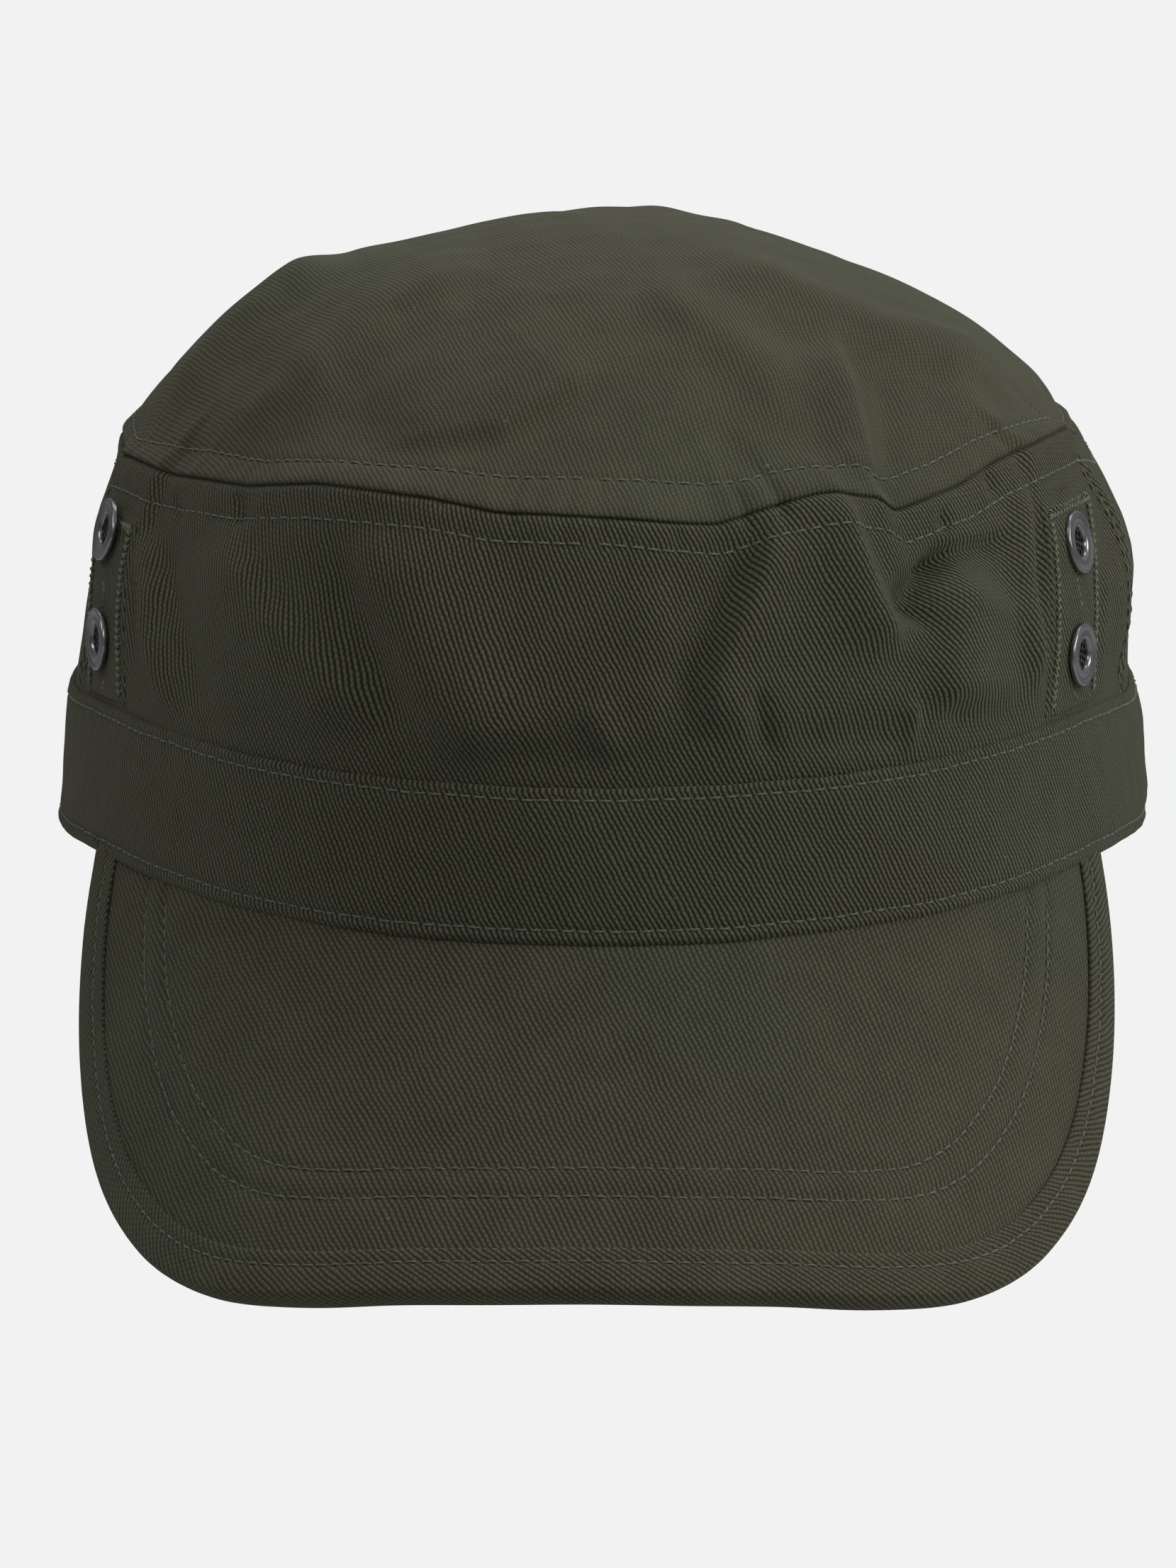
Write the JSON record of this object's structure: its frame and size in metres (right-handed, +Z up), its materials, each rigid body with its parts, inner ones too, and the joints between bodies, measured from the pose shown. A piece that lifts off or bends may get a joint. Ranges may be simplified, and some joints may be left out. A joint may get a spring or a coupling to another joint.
{
  "type": "military field cap",
  "caption": "Soft flat-crowned field cap in twill with a curved visor, screened vent eyelets and a buckled rear strap.",
  "frame": {"origin": "centre of the head opening, at the height of the lowest part of the band's bottom edge", "axes": "+Z up through the crown, -Y towards the front of the cap and its visor, +X towards the wearer's left"},
  "size_m": [0.171, 0.2591, 0.1357],
  "materials": {
    "twill": "matte",
    "tape": "matte",
    "sweatband": "matte",
    "label": "satin",
    "board": "matte",
    "screen": "matte",
    "gunmetal": "satin"
  },
  "bodies": {
    "shell": {"band": "twill", "front_wall_panel": "twill", "rear_wall_panel_left": "twill", "rear_wall_panel_right": "twill", "crown_top": "twill", "buckle_loop": "twill", "eyelet_patch_left": "twill", "eyelet_patch_right": "twill", "crown_seam_tape": "tape", "side_seam_tape_left": "tape", "side_seam_tape_right": "tape", "rear_seam_tape": "tape", "rear_opening_binding": "tape", "eyelets_left": "gunmetal", "eyelets_right": "gunmetal", "eyelet_washers_left": "gunmetal", "eyelet_washers_right": "gunmetal", "buckle_frame": "gunmetal", "buckle_pin": "gunmetal", "sweatband": "sweatband", "size_label": "label", "eyelet_screens_left": "screen", "eyelet_screens_right": "screen"},
    "visor": {"visor_top_cover": "twill", "visor_board": "board", "visor_under_cover": "twill", "visor_binding": "twill"},
    "lever": {"buckle_lever": "gunmetal"},
    "strap": {"strap": "twill"}
  },
  "joints": [
    {"name": "visor_flex", "type": "hinge", "parent": "shell", "child": "visor", "pos_m": [0, -0.1055, 0.0066], "axis": [-1, 0, 0], "range_deg": [0, 10]},
    {"name": "buckle_lever_hinge", "type": "hinge", "parent": "shell", "child": "lever", "pos_m": [0.0252, 0.10386, 0.0115], "axis": [0, 0, -1], "range_deg": [0, 95]},
    {"name": "strap_slide", "type": "hinge", "parent": "shell", "child": "strap", "pos_m": [0, 0.03, 0], "axis": [0, 0, -1], "range_deg": [0, 16]}
  ]
}
